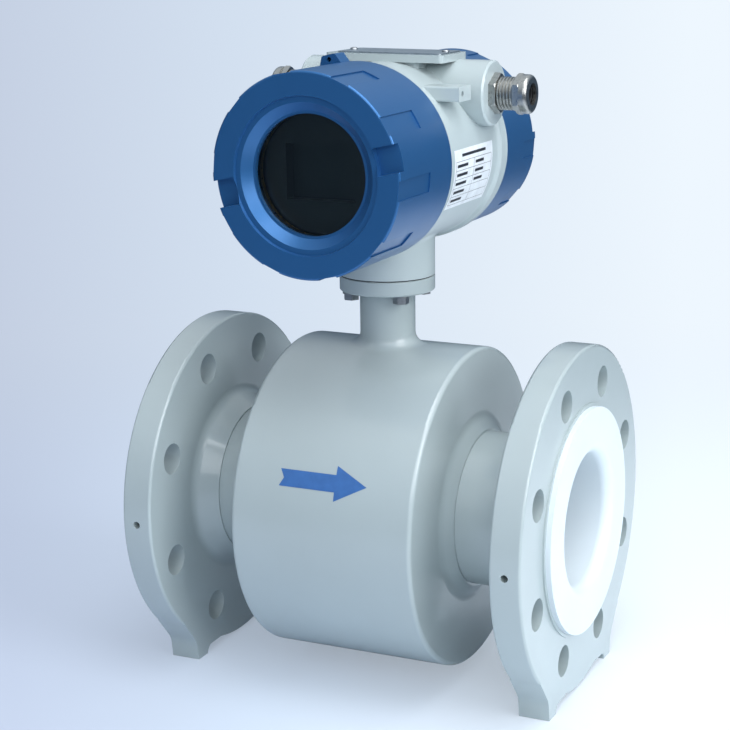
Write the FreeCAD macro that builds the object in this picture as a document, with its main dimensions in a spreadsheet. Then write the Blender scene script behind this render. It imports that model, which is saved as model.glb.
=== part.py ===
"""Electromagnetic flow meter, DN80 PN16, with a round converter head on a neck.

Frame, millimetres: the origin is the centre of the measuring tube, +X is the
direction of flow, -Y is the side that the display faces, +Z is up.  The two
flanges stand on cast feet.  Every size is a cell of the sheet "Dims"; sketches,
pads, revolutions and placements are bound to those cells.
"""
import FreeCAD, Part
import math
import os
from FreeCAD import Placement, Rotation, Vector

doc = FreeCAD.newDocument("FlowMeter")

# ---------------------------------------------------------------- dimensions
DIMENSIONS = [
    # measuring tube, liner and flanges
    ("face_to_face", 250.0), ("flange_od", 200.0), ("flange_thick", 18.0),
    ("flange_edge", 1.6), ("bolt_circle", 160.0), ("bolt_hole", 18.0),
    ("bolt_count", 8), ("bolt_angle", 22.5),
    ("raised_od", 134.0), ("raised_high", 1.0), ("liner_od", 130.0),
    ("flare_thick", 3.0), ("liner_wall", 2.5), ("mouth_round", 6.5),
    ("pipe_od", 89.0), ("pipe_wall", 4.0), ("hub_root_od", 106.0),
    ("hub_tip_od", 91.0), ("hub_len", 13.0), ("hub_round", 6.0),
    ("foot_inner", 42.5), ("foot_outer", 53.0), ("foot_drop", 1.0),
    ("foot_root", 27.0), ("foot_shoulder", 68.0), ("foot_knee", 12.0),
    ("foot_arch", 5.0), ("foot_splay", 1.6), ("foot_into", 4.0), ("foot_sink", 0.2),
    ("earth_hole", 4.2), ("earth_depth", 10.0), ("earth_low", 2.5),
    ("cut_over", 3.0),
    # coil housing and its neck
    ("barrel_od", 186.0), ("barrel_len", 110.0), ("barrel_wall", 3.0),
    ("barrel_edge", 2.5), ("weld_leg", 8.5), ("weld_run", 5.5), ("weld_step", 1.4),
    ("weld_round", 8.0),
    ("stem_od", 32.0), ("stem_wall", 3.5), ("stem_round", 7.0),
    ("neck_flange_od", 55.0), ("neck_flange_thick", 8.6),
    ("neck_high", 40.2), ("neck_edge", 1.0),
    # coils, poles and electrodes
    ("shoe_thick", 3.5), ("shoe_len", 56.0), ("shoe_arc", 80.0),
    ("pole_od", 25.0), ("pole_play", 0.1), ("coil_gap", 0.5), ("coil_od", 64.0),
    ("coil_lift", 5.0), ("coil_room", 8.0), ("coil_edge", 1.5), ("yoke_room", 9.0),
    ("yoke_thick", 3.0), ("yoke_len", 44.0),
    ("pin_od", 8.0), ("pin_edge", 0.4), ("rod_od", 5.0), ("rod_spare", 8.0),
    ("bush_od", 13.0), ("bush_collar", 18.0), ("bush_lift", 3.5),
    ("nut_af", 9.0), ("nut_high", 4.0),
    # neck joint
    ("gasket_thick", 0.7), ("neck_bolt_circle", 44.0), ("neck_bolt_od", 5.0),
    ("neck_bolt_af", 8.0), ("neck_head_high", 3.6), ("washer_od", 10.0),
    ("washer_thick", 1.0), ("neck_bolt_grip", 8.0), ("neck_bolt_play", 0.3),
    # converter housing
    ("spigot_len", 15.6), ("shoulder_step", 3.5), ("front_shoulder", 32.4),
    ("rear_shoulder", 50.0), ("rear_band", 5.4), ("rear_band_len", 9.0),
    ("thread_od", 98.0), ("thread_len", 16.0), ("thread_wall", 4.0),
    ("divider_at", 5.0), ("divider_thick", 4.0),
    ("spigot_od", 55.0), ("spigot_bore", 26.0),
    ("entry_od", 36.6), ("entry_back", 22.0), ("entry_stand", 0.4),
    ("entry_reach", 57.4), ("entry_edge", 1.0),
    ("pad_len", 72.0), ("pad_wide", 36.0), ("pad_back", 15.0), ("pad_rise", 3.9),
    ("pad_thick", 4.3), ("pad_foot", 40.0), ("pad_inset", 2.5),
    ("lug_out", 1.5), ("lug_wide", 17.0), ("lug_at", 13.2),
    ("lug_up", 37.3), ("lug_tall", 8.2), ("lug_hole", 3.3), ("lug_hole_deep", 9.0),
    ("lug_edge", 1.2), ("cast_round", 2.5),
    ("plate_len", 64.0), ("plate_wide", 30.0), ("plate_thick", 0.8), ("plate_side", 2.0),
    ("plate_screw_od", 4.4), ("plate_screw_high", 1.3), ("plate_screw_at", 28.5),
    # covers
    ("cover_wall", 5.8), ("cover_gap", 0.5), ("thread_play", 0.06),
    ("front_depth", 67.3), ("rear_depth", 50.0), ("rear_less", 1.8),
    ("rear_key_len", 20.0), ("cover_end", 6.0), ("cover_edge", 0.6),
    ("cover_chamfer", 1.4), ("face_ring", 12.8), ("face_step", 1.6), ("step_slope", 0.5),
    ("step_ring", 3.5), ("cone_wide", 4.9), ("cone_deep", 4.8), ("window_edge", 1.4),
    ("window_lip", 2.4), ("glass_lap", 4.8), ("glass_thick", 7.0),
    ("retainer_thick", 3.0), ("retainer_lap", 0.8), ("seat_wall", 3.5),
    ("key_count", 10), ("key_wide", 10.6), ("key_deep", 1.0), ("key_len", 38.0),
    ("notch_wide", 14.6), ("notch_deep", 5.0),
    ("cover_turn", 13.0), ("tab_base", 14.3),
    ("tab_crest", 8.0), ("tab_up", 5.2), ("tab_len", 11.0), ("tab_hole", 2.6),
    ("groove_tall", 3.25), ("groove_deep", 3.4), ("o_ring_cord", 2.6),
    ("o_ring_play", 0.35),
    # inside the head
    ("stud_od", 5.0), ("stud_inset", 7.0), ("board_thick", 1.6),
    ("board_room", 2.0), ("main_board_at", 24.0),
    ("display_room", 1.9), ("display_thick", 8.0), ("display_inset", 3.0),
    ("screen_wide", 40.0), ("screen_tall", 30.0), ("screen_lap", 4.0), ("lcd_thick", 3.0),
    ("power_wide", 42.0), ("power_tall", 34.0), ("power_deep", 24.0),
    ("terminal_len", 64.0), ("terminal_tall", 22.0), ("terminal_deep", 16.0),
    ("terminal_screw_od", 5.0), ("terminal_pitch", 9.0), ("terminal_count", 6),
    ("terminal_screw_high", 1.5),
    # cable glands
    ("gland_af", 20.0), ("gland_hex", 4.0), ("gland_hex_trim", 0.4),
    ("gland_neck_od", 18.8), ("gland_neck_len", 9.6), ("gland_rings", 5), ("gland_rib", 0.7),
    ("gland_nut_hex", 3.9), ("gland_collar_od", 22.0), ("gland_collar_len", 5.0),
    ("gland_collar_round", 2.4), ("gland_cap", 2.6), ("gland_mouth", 12.3),
    ("gland_thread_od", 16.0), ("entry_play", 0.2), ("gland_thread_in", 10.0),
    ("gland_bore", 14.0), ("gland_wall", 1.4), ("gland_play", 0.05), ("nut_gap", 0.3),
    ("seal_id", 8.4), ("seal_gap", 0.3), ("seal_room", 0.6),
]

sheet = doc.addObject("Spreadsheet::Sheet", "Dims")
for row, (alias, value) in enumerate(DIMENSIONS, start=1):
    sheet.set("A%d" % row, alias)
    sheet.set("B%d" % row, str(value))
    sheet.setAlias("B%d" % row, alias)
doc.recompute()


class Size:
    """A length with its value and the sheet expression that gives it."""

    def __init__(self, value, text):
        self.value = float(value)
        self.text = text

    @staticmethod
    def of(other):
        return other if isinstance(other, Size) else Size(other, "(%r)" % float(other))

    def __add__(self, other):
        other = Size.of(other)
        return Size(self.value + other.value, "(%s + %s)" % (self.text, other.text))

    def __sub__(self, other):
        other = Size.of(other)
        return Size(self.value - other.value, "(%s - %s)" % (self.text, other.text))

    def __mul__(self, other):
        other = Size.of(other)
        return Size(self.value * other.value, "(%s * %s)" % (self.text, other.text))

    def __truediv__(self, other):
        other = Size.of(other)
        return Size(self.value / other.value, "(%s / %s)" % (self.text, other.text))

    def __neg__(self):
        return self * -1.0

    __radd__ = __add__
    __rmul__ = __mul__

    def __rsub__(self, other):
        return Size.of(other) - self


def root(size):
    return Size(math.sqrt(size.value), "sqrt(%s)" % size.text)


class Dims:
    """Every cell of the sheet as a Size, by its alias."""


D = Dims()
for alias, value in DIMENSIONS:
    setattr(D, alias, Size(value, "Dims.%s" % alias))


def val(size):
    return Size.of(size).value


# ------------------------------------------------------------------- helpers
def bind(obj, prop, size):
    """Sets a property and ties it to the sheet."""
    size = Size.of(size)
    obj.setExpression(prop, size.text)


def make_body(label, base=(0, 0, 0), axis=Vector(0, 0, 1), angle=0):
    body = doc.addObject("PartDesign::Body", label)
    body.Label = label
    body.AllowCompound = True
    body.Placement = Placement(Vector(*[val(b) for b in base]), Rotation(axis, val(angle)))
    for name, b in zip("xyz", base):
        if isinstance(b, Size):
            bind(body, "Placement.Base.%s" % name, b)
    if isinstance(angle, Size):
        bind(body, "Placement.Rotation.Angle", angle)
    return body


def make_sketch(body, plane, offset=None):
    sketch = body.newObject("Sketcher::SketchObject", body.Label + "_sketch")
    role = plane + "_Plane"
    support = [f for f in body.Origin.OriginFeatures if f.Role == role][0]
    sketch.AttachmentSupport = (support, [""])
    sketch.MapMode = "FlatFace"
    if offset is not None:
        sketch.AttachmentOffset = Placement(Vector(0, 0, val(offset)), Rotation())
        bind(sketch, "AttachmentOffset.Base.z", offset)
    return sketch


def fix_point(sketch, geo, pos, x, y):
    """Holds a point at sheet-driven coordinates from the sketch origin."""
    for kind, axis, size in (("DistanceX", -2, x), ("DistanceY", -1, y)):
        if not isinstance(size, Size) and float(size) == 0.0:
            sketch.addConstraint(FC("PointOnObject", geo, pos, axis))
        else:
            index = sketch.addConstraint(FC(kind, -1, 1, geo, pos, val(size)))
            if isinstance(size, Size):
                sketch.setExpression("Constraints[%d]" % index, size.text)


def FC(*args):
    import Sketcher
    return Sketcher.Constraint(*args)


def outline(sketch, points):
    """Closed profile through (x, y) or (x, y, round radius) corners.

    A rounded corner keeps its sharp corner as a construction point, with both
    neighbouring lines through it, and gets a tangent arc of the given radius.
    """
    count = len(points)
    flat = [Vector(val(p[0]), val(p[1]), 0) for p in points]
    ends = []
    arcs = []
    for i, p in enumerate(points):
        here, before, after = flat[i], flat[i - 1], flat[(i + 1) % count]
        if len(p) > 2:
            r = val(p[2])
            a = (before - here).normalize()
            b = (after - here).normalize()
            half = a.getAngle(b) / 2.0
            run = r / math.tan(half)
            t1, t2 = here + a * run, here + b * run
            centre = here + (a + b).normalize() * (r / math.sin(half))
            ends.append((t1, t2))
            arcs.append((t1, t2, centre, r))
        else:
            ends.append((here, here))
            arcs.append(None)
    lines = []
    for i in range(count):
        j = (i + 1) % count
        lines.append(sketch.addGeometry(Part.LineSegment(ends[i][1], ends[j][0]), False))
    for i, p in enumerate(points):
        before, after = lines[i - 1], lines[i]
        if arcs[i] is None:
            sketch.addConstraint(FC("Coincident", before, 2, after, 1))
            fix_point(sketch, after, 1, p[0], p[1])
            continue
        t1, t2, centre, r = arcs[i]
        a1 = math.atan2(t1.y - centre.y, t1.x - centre.x)
        a2 = math.atan2(t2.y - centre.y, t2.x - centre.x)
        turn = (a2 - a1) % (2 * math.pi)
        circle = Part.Circle(centre, Vector(0, 0, 1), r)
        if turn < math.pi:
            arc = sketch.addGeometry(Part.ArcOfCircle(circle, a1, a1 + turn), False)
            first, last = 1, 2
        else:
            arc = sketch.addGeometry(Part.ArcOfCircle(circle, a2, a2 + 2 * math.pi - turn), False)
            first, last = 2, 1
        corner = sketch.addGeometry(Part.Point(flat[i]), True)
        fix_point(sketch, corner, 1, p[0], p[1])
        sketch.addConstraint(FC("PointOnObject", corner, 1, before))
        sketch.addConstraint(FC("PointOnObject", corner, 1, after))
        sketch.addConstraint(FC("Tangent", before, 2, arc, first))
        sketch.addConstraint(FC("Tangent", after, 1, arc, last))
        index = sketch.addConstraint(FC("Radius", arc, r))
        if isinstance(p[2], Size):
            sketch.setExpression("Constraints[%d]" % index, p[2].text)
    return lines


def circle_at(sketch, x, y, diameter):
    geo = sketch.addGeometry(Part.Circle(Vector(val(x), val(y), 0), Vector(0, 0, 1), val(diameter) / 2), False)
    fix_point(sketch, geo, 3, x, y)
    index = sketch.addConstraint(FC("Diameter", geo, val(diameter)))
    if isinstance(diameter, Size):
        sketch.setExpression("Constraints[%d]" % index, diameter.text)
    return geo


def circle_polar(sketch, distance, angle, diameter):
    """A circle on a pitch circle, at an angle from the sketch's first axis."""
    a = math.radians(val(angle))
    centre = Vector(val(distance) * math.cos(a), val(distance) * math.sin(a), 0)
    ray = sketch.addGeometry(Part.LineSegment(Vector(0, 0, 0), centre), True)
    sketch.addConstraint(FC("Coincident", ray, 1, -1, 1))
    index = sketch.addConstraint(FC("Distance", ray, val(distance)))
    if isinstance(distance, Size):
        sketch.setExpression("Constraints[%d]" % index, distance.text)
    index = sketch.addConstraint(FC("Angle", -1, 1, ray, 1, a))
    if isinstance(angle, Size):
        sketch.setExpression("Constraints[%d]" % index, "%s * 1 deg" % angle.text)
    geo = sketch.addGeometry(Part.Circle(centre, Vector(0, 0, 1), val(diameter) / 2), False)
    sketch.addConstraint(FC("Coincident", geo, 3, ray, 2))
    index = sketch.addConstraint(FC("Diameter", geo, val(diameter)))
    if isinstance(diameter, Size):
        sketch.setExpression("Constraints[%d]" % index, diameter.text)
    return geo


def box_outline(sketch, x1, y1, x2, y2, r=None):
    corners = [(x1, y1), (x2, y1), (x2, y2), (x1, y2)]
    if r is not None:
        corners = [c + (r,) for c in corners]
    return outline(sketch, corners)


def revolve(body, sketch, axis="H_Axis", cut=False, angle=360.0, middle=False):
    kind = "PartDesign::Groove" if cut else "PartDesign::Revolution"
    feature = body.newObject(kind, body.Label + ("_groove" if cut else "_revolution"))
    feature.Profile = sketch
    feature.ReferenceAxis = (sketch, [axis])
    feature.Angle = val(angle)
    if isinstance(angle, Size):
        bind(feature, "Angle", angle)
    if middle:
        feature.Midplane = True
    sketch.Visibility = False
    return feature


def extrude(body, sketch, length, cut=False, middle=False, back=False, through=False):
    kind = "PartDesign::Pocket" if cut else "PartDesign::Pad"
    feature = body.newObject(kind, body.Label + ("_pocket" if cut else "_pad"))
    feature.Profile = sketch
    if through:
        feature.Type = "ThroughAll"
    else:
        feature.Length = val(length)
        if isinstance(length, Size):
            bind(feature, "Length", length)
    if middle:
        feature.SideType = "Symmetric"
    feature.Reversed = back
    sketch.Visibility = False
    return feature


def around(body, feature, count):
    """Repeats a feature round the normal of its own sketch."""
    pattern = body.newObject("PartDesign::PolarPattern", body.Label + "_pattern")
    pattern.Originals = [feature]
    pattern.Axis = (feature.Profile[0], ["N_Axis"])
    pattern.Angle = 360.0
    pattern.Occurrences = int(val(count))
    if isinstance(count, Size):
        bind(pattern, "Occurrences", count)
    body.Tip = pattern
    return pattern


def edges_where(shape, wanted, label):
    """Names of the edges whose points all pass the test."""
    names = []
    for i, edge in enumerate(shape.Edges, start=1):
        u0, u1 = edge.ParameterRange
        pts = [edge.valueAt(u0 + (u1 - u0) * k / 6.0) for k in range(7)]
        if all(wanted(q) for q in pts):
            names.append("Edge%d" % i)
    if not names:
        raise RuntimeError("no such edge on " + label)
    return names


def soften(body, radius, wanted, name="_fillet"):
    """Rounds the edges of the tip whose points all pass the test."""
    doc.recompute()
    tip = body.Tip
    fillet = body.newObject("PartDesign::Fillet", body.Label + name)
    fillet.Base = (tip, edges_where(tip.Shape, wanted, body.Label))
    fillet.Radius = val(radius)
    bind(fillet, "Radius", radius)
    return fillet


def bevel(body, size, wanted, name="_chamfer"):
    """Breaks the edges of the tip whose points all pass the test."""
    doc.recompute()
    tip = body.Tip
    chamfer = body.newObject("PartDesign::Chamfer", body.Label + name)
    chamfer.Base = (tip, edges_where(tip.Shape, wanted, body.Label))
    chamfer.Size = val(size)
    bind(chamfer, "Size", size)
    return chamfer


def near(a, b, tol=0.02):
    return abs(a - b) < tol


# ------------------------------------------------- measuring tube and flanges
face_x = D.face_to_face / 2                  # outer face of the liner flare
raised_x = face_x - D.flare_thick            # steel raised face under the flare
rim_x = raised_x - D.raised_high             # outer plane of the flange disc
back_x = rim_x - D.flange_thick              # inner plane of the flange disc
pipe_r = D.pipe_od / 2
bore_r = pipe_r - D.pipe_wall                # inside of the steel pipe
flow_r = bore_r - D.liner_wall               # inside of the liner
ground = D.flange_od / 2 + D.foot_drop       # the feet stand this far below the axis

tube = make_body("measuring_tube")
sk = make_sketch(tube, "XZ")
box_outline(sk, -raised_x, bore_r, raised_x, pipe_r)
revolve(tube, sk)
sk = make_sketch(tube, "XZ")
circle_at(sk, 0, 0, D.bush_od)
extrude(tube, sk, D.pipe_od * 2, cut=True, middle=True)

liner = make_body("liner")
sk = make_sketch(liner, "XZ")
outline(sk, [
    (-face_x, flow_r, D.mouth_round), (face_x, flow_r, D.mouth_round),
    (face_x, D.liner_od / 2), (raised_x, D.liner_od / 2), (raised_x, bore_r),
    (-raised_x, bore_r), (-raised_x, D.liner_od / 2), (-face_x, D.liner_od / 2)])
revolve(liner, sk)
sk = make_sketch(liner, "XZ")
circle_at(sk, 0, 0, D.pin_od)
extrude(liner, sk, D.pipe_od * 2, cut=True, middle=True)


def flange(label, side):
    """Weld-neck flange with two cast feet; side is +1 at the outlet."""
    body = make_body(label)
    disc_r = D.flange_od / 2
    sk = make_sketch(body, "XZ")
    outline(sk, [
        ((back_x - D.hub_len) * side, pipe_r),
        ((back_x - D.hub_len) * side, D.hub_tip_od / 2),
        (back_x * side, D.hub_root_od / 2, D.hub_round),
        (back_x * side, disc_r, D.flange_edge),
        (rim_x * side, disc_r, D.flange_edge),
        (rim_x * side, D.raised_od / 2),
        (raised_x * side, D.raised_od / 2),
        (raised_x * side, pipe_r)])
    revolve(body, sk)
    # feet: outside edge leaves the disc nearly tangent and drops to a flat sole
    sk = make_sketch(body, "YZ", back_x * side)
    root_z = root(disc_r * disc_r - D.foot_root * D.foot_root)
    shoulder_z = root(disc_r * disc_r - D.foot_shoulder * D.foot_shoulder) - D.foot_sink * 2
    for s in (-1.0, 1.0):
        outline(sk, [
            (D.foot_root * s, -(root_z - D.foot_into)),
            (D.foot_root * s, -(root_z - D.foot_sink)),
            (D.foot_inner * s, -root_z, D.foot_arch),
            (D.foot_inner * s, -ground),
            (D.foot_outer * s, -ground),
            ((D.foot_outer + D.foot_splay) * s, -(ground - D.foot_knee), D.foot_knee),
            (D.foot_shoulder * s, -shoulder_z),
            ((D.foot_shoulder - D.foot_into * 2) * s, -(shoulder_z - D.foot_into))])
    extrude(body, sk, D.flange_thick, back=(side < 0))
    # bolt holes straddle the centre lines
    sk = make_sketch(body, "YZ", raised_x * side)
    circle_polar(sk, D.bolt_circle / 2, D.bolt_angle, D.bolt_hole)
    hole = extrude(body, sk, D.flange_thick * 2, cut=True, back=(side < 0))
    around(body, hole, D.bolt_count)
    # tapped hole for the earthing strap in the front of the rim
    sk = make_sketch(body, "XZ", disc_r + 1.0)
    circle_at(sk, (back_x + D.flange_thick / 2) * side, -D.earth_low, D.earth_hole)
    extrude(body, sk, D.earth_depth + 1.0, cut=True)
    return body


inlet_flange = flange("inlet_flange", -1.0)
outlet_flange = flange("outlet_flange", 1.0)

# ------------------------------------------------------------- coil housing
barrel_r = D.barrel_od / 2
half_len = D.barrel_len / 2
neck_top = barrel_r + D.neck_high             # face that carries the head
neck_under = neck_top - D.neck_flange_thick
barrel_in = barrel_r - D.barrel_wall
housing = make_body("coil_housing")
sk = make_sketch(housing, "XZ")
outline(sk, [
    (-half_len - D.weld_run, pipe_r), (-half_len - D.weld_run, pipe_r + D.weld_step),
    (-half_len, pipe_r + D.weld_leg, D.weld_round),
    (-half_len, barrel_r, D.barrel_edge), (half_len, barrel_r, D.barrel_edge),
    (half_len, pipe_r + D.weld_leg, D.weld_round),
    (half_len + D.weld_run, pipe_r + D.weld_step), (half_len + D.weld_run, pipe_r)])
revolve(housing, sk)
sk = make_sketch(housing, "XY", barrel_in - D.stem_wall)
circle_at(sk, 0, 0, D.stem_od)
extrude(housing, sk, neck_top - barrel_in + D.stem_wall)
stem_r, stem_z = D.stem_od.value / 2, D.barrel_od.value / 2
soften(housing, D.stem_round, lambda q: near(math.hypot(q.x, q.y), stem_r)
       and near(math.hypot(q.y, q.z), stem_z))
sk = make_sketch(housing, "XZ")
outline(sk, [
    (0, neck_under), (D.neck_flange_od / 2, neck_under, D.neck_edge),
    (D.neck_flange_od / 2, neck_top, D.neck_edge / 2), (0, neck_top)])
revolve(housing, sk, "V_Axis")
sk = make_sketch(housing, "XZ")
box_outline(sk, -(half_len - D.barrel_wall), pipe_r, half_len - D.barrel_wall, barrel_in)
revolve(housing, sk, cut=True)
sk = make_sketch(housing, "XY", neck_top + 1.0)
circle_at(sk, 0, 0, D.stem_od - D.stem_wall * 2)
extrude(housing, sk, neck_top - barrel_in + D.stem_wall * 2, cut=True)
sk = make_sketch(housing, "XY", neck_top + 1.0)
circle_polar(sk, D.neck_bolt_circle / 2, 45.0, D.neck_bolt_od + D.neck_bolt_play)
around(housing, extrude(housing, sk, D.neck_flange_thick + 2.0, cut=True), 4)

# ------------------------------------------------- field coils and electrodes
shoe_r = pipe_r + D.shoe_thick
yoke_r = barrel_in - D.yoke_room - D.yoke_thick
coil_base = shoe_r + D.coil_lift
core_end = root(yoke_r * yoke_r - D.pole_od * D.pole_od / 4) - D.pole_play
bush_top = pipe_r + D.bush_lift
rod_end = bush_top + D.nut_high + D.rod_spare
for label, turn in (("upper", 0.0), ("lower", 180.0)):
    shoe = make_body("pole_shoe_" + label, axis=Vector(1, 0, 0), angle=turn)
    sk = make_sketch(shoe, "XZ")
    box_outline(sk, -D.shoe_len / 2, pipe_r, D.shoe_len / 2, shoe_r)
    revolve(shoe, sk, angle=D.shoe_arc, middle=True)

    core = make_body("pole_core_" + label, axis=Vector(1, 0, 0), angle=turn)
    sk = make_sketch(core, "XY", pipe_r)
    circle_at(sk, 0, 0, D.pole_od)
    extrude(core, sk, core_end - pipe_r)
    sk = make_sketch(core, "YZ")
    circle_at(sk, 0, 0, shoe_r * 2)
    extrude(core, sk, D.pole_od * 2, cut=True, middle=True)

    coil = make_body("coil_" + label, axis=Vector(1, 0, 0), angle=turn)
    sk = make_sketch(coil, "XZ")
    box_outline(sk, D.pole_od / 2 + D.coil_gap, coil_base, D.coil_od / 2,
                yoke_r - D.coil_room, D.coil_edge)
    revolve(coil, sk, "V_Axis")

yoke = make_body("yoke_ring")
sk = make_sketch(yoke, "XZ")
box_outline(sk, -D.yoke_len / 2, yoke_r, D.yoke_len / 2, yoke_r + D.yoke_thick)
revolve(yoke, sk)

for label, turn in (("front", 180.0), ("rear", 0.0)):
    pin = make_body("electrode_" + label, axis=Vector(0, 0, 1), angle=turn)
    sk = make_sketch(pin, "YZ")
    outline(sk, [
        (flow_r, 0), (flow_r, D.pin_od / 2 - D.pin_edge), (flow_r + D.pin_edge, D.pin_od / 2),
        (bore_r, D.pin_od / 2), (bore_r, D.rod_od / 2),
        (rod_end, D.rod_od / 2), (rod_end, 0)])
    revolve(pin, sk)

    bush = make_body("electrode_bush_" + label, axis=Vector(0, 0, 1), angle=turn)
    sk = make_sketch(bush, "YZ")
    outline(sk, [
        (bore_r, D.rod_od / 2), (bore_r, D.bush_od / 2), (pipe_r, D.bush_od / 2),
        (pipe_r, D.bush_collar / 2), (bush_top, D.bush_collar / 2), (bush_top, D.rod_od / 2)])
    revolve(bush, sk)

    nut = make_body("electrode_nut_" + label, axis=Vector(0, 0, 1), angle=turn)
    sk = make_sketch(nut, "XZ", -bush_top)
    half = D.nut_af / 2
    side = D.nut_af / math.sqrt(3.0)
    outline(sk, [(side, 0), (side / 2, half), (-side / 2, half), (-side, 0), (-side / 2, -half), (side / 2, -half)])
    circle_at(sk, 0, 0, D.rod_od)
    extrude(nut, sk, D.nut_high, back=True)

# --------------------------------------------------------------- neck joint
gasket = make_body("neck_gasket")
sk = make_sketch(gasket, "XY", neck_top)
circle_at(sk, 0, 0, D.neck_flange_od - D.neck_edge * 2)
circle_at(sk, 0, 0, D.spigot_bore)
extrude(gasket, sk, D.gasket_thick)
sk = make_sketch(gasket, "XY", neck_top)
circle_polar(sk, D.neck_bolt_circle / 2, 45.0, D.neck_bolt_od + D.neck_bolt_play)
around(gasket, extrude(gasket, sk, D.gasket_thick, cut=True, back=True), 4)

spigot_z = neck_top + D.gasket_thick
bolt_tip = spigot_z + D.neck_bolt_grip
bolts = make_body("neck_bolts")
sk = make_sketch(bolts, "XY", neck_under - D.washer_thick)
ring = circle_polar(sk, D.neck_bolt_circle / 2, 45.0, D.washer_od)
washers = extrude(bolts, sk, D.washer_thick)
around(bolts, washers, 4)
sk = make_sketch(bolts, "XY", neck_under - D.washer_thick)
circle_polar(sk, D.neck_bolt_circle / 2, 45.0, D.neck_bolt_od)
around(bolts, extrude(bolts, sk, bolt_tip - neck_under + D.washer_thick), 4)
sk = make_sketch(bolts, "XY", neck_under - D.washer_thick)
reach = D.neck_bolt_circle / 2 / math.sqrt(2.0)
side = D.neck_bolt_af / math.sqrt(3.0)
half = D.neck_bolt_af / 2
outline(sk, [
    (reach + side, reach), (reach + side / 2, reach + half), (reach - side / 2, reach + half),
    (reach - side, reach), (reach - side / 2, reach - half), (reach + side / 2, reach - half)])
around(bolts, extrude(bolts, sk, D.neck_head_high, back=True), 4)

# --------------------------------------------------------- converter housing
# Sketches of the head are drawn about its own axis, which lies along Y.
thread_r = D.thread_od / 2
head_r = thread_r + D.shoulder_step
band_r = thread_r + D.rear_band
chamber_r = thread_r - D.thread_wall
front_end = D.front_shoulder + D.thread_len
rear_end = D.rear_shoulder + D.thread_len
spigot_low = head_r + D.spigot_len           # mating face below the head axis
head_high = spigot_z + spigot_low
HEAD = (0, 0, head_high)
slab_top = head_r + D.pad_rise
slab_low = slab_top - D.pad_thick
entry_up = head_r - D.entry_od / 2 + D.entry_stand   # axis of the cable boss
inner_r = chamber_r * 0.7                    # well inside the wall, where a form starts

casting = make_body("converter_housing", HEAD)
sk = make_sketch(casting, "YZ")
outline(sk, [
    (-front_end, 0), (-front_end, thread_r), (-D.front_shoulder, thread_r),
    (-D.front_shoulder, head_r),
    (D.rear_shoulder - D.rear_band_len - D.rear_band / 2, head_r, D.cast_round),
    (D.rear_shoulder - D.rear_band_len, band_r, D.cast_round / 2),
    (D.rear_shoulder, band_r), (D.rear_shoulder, thread_r),
    (rear_end, thread_r), (rear_end, 0)])
revolve(casting, sk)
sk = make_sketch(casting, "XY", -spigot_low)
circle_at(sk, 0, 0, D.spigot_od)
extrude(casting, sk, spigot_low - inner_r)
sk = make_sketch(casting, "YZ")
circle_at(sk, D.entry_back, entry_up, D.entry_od)
extrude(casting, sk, D.entry_reach * 2, middle=True)
bevel(casting, D.entry_edge, lambda q: near(abs(q.x), D.entry_reach.value))
sk = make_sketch(casting, "YZ", inner_r)
box_outline(sk, -D.lug_at - D.lug_wide / 2, D.lug_up - D.lug_tall / 2,
            -D.lug_at + D.lug_wide / 2, D.lug_up + D.lug_tall / 2, D.lug_edge)
extrude(casting, sk, head_r + D.lug_out - inner_r)
cast_r, spig_r, entry_r = head_r.value, D.spigot_od.value / 2, D.entry_od.value / 2


def on_head(q):
    return near(math.hypot(q.x, q.z), cast_r)


soften(casting, D.cast_round * 1.6, lambda q: on_head(q) and near(math.hypot(q.x, q.y), spig_r))
# name-plate ledge: a thin slab that overhangs the narrower block that carries it
sk = make_sketch(casting, "XY", inner_r)
box_outline(sk, -D.pad_foot / 2, D.pad_back - D.pad_wide / 2 + D.pad_inset,
            D.pad_foot / 2, D.pad_back + D.pad_wide / 2 - D.pad_inset, D.cast_round)
extrude(casting, sk, slab_low + D.pad_thick / 2 - inner_r)
sk = make_sketch(casting, "XY", slab_low)
box_outline(sk, -D.pad_len / 2, D.pad_back - D.pad_wide / 2,
            D.pad_len / 2, D.pad_back + D.pad_wide / 2, D.cast_round)
extrude(casting, sk, D.pad_thick)
sk = make_sketch(casting, "YZ")
for near_y, far_y in ((-front_end - 1.0, D.divider_at), (D.divider_at + D.divider_thick, rear_end + 1.0)):
    box_outline(sk, near_y, 0, far_y, chamber_r)
revolve(casting, sk, cut=True)
sk = make_sketch(casting, "XY", -spigot_low - 1.0)
circle_at(sk, 0, 0, D.spigot_bore)
extrude(casting, sk, spigot_low - inner_r + 1.0, cut=True, back=True)
sk = make_sketch(casting, "XY", -spigot_low - 1.0)
circle_polar(sk, D.neck_bolt_circle / 2, 45.0, D.neck_bolt_od + D.neck_bolt_play)
around(casting, extrude(casting, sk, D.neck_bolt_grip + D.cut_over, cut=True, back=True), 4)
sk = make_sketch(casting, "YZ")
circle_at(sk, D.entry_back, entry_up, D.gland_thread_od + D.entry_play * 2)
extrude(casting, sk, D.entry_reach * 2 + 2.0, cut=True, middle=True)
sk = make_sketch(casting, "YZ", head_r + D.lug_out + 1.0)
circle_at(sk, -D.lug_at - D.lug_wide * 0.2, D.lug_up, D.lug_hole)
extrude(casting, sk, D.lug_hole_deep + 1.0, cut=True)

plate = make_body("top_plate", HEAD)
sk = make_sketch(plate, "XY", slab_top)
box_outline(sk, D.plate_side - D.plate_len / 2, D.pad_back - D.plate_wide / 2,
            D.plate_side + D.plate_len / 2, D.pad_back + D.plate_wide / 2, D.cast_round)
extrude(plate, sk, D.plate_thick)

screws = make_body("plate_screws", HEAD)
sk = make_sketch(screws, "XY", slab_top + D.plate_thick)
for s in (-1.0, 1.0):
    circle_at(sk, D.plate_side + D.plate_screw_at * s, D.pad_back, D.plate_screw_od)
extrude(screws, sk, D.plate_screw_high)

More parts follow.
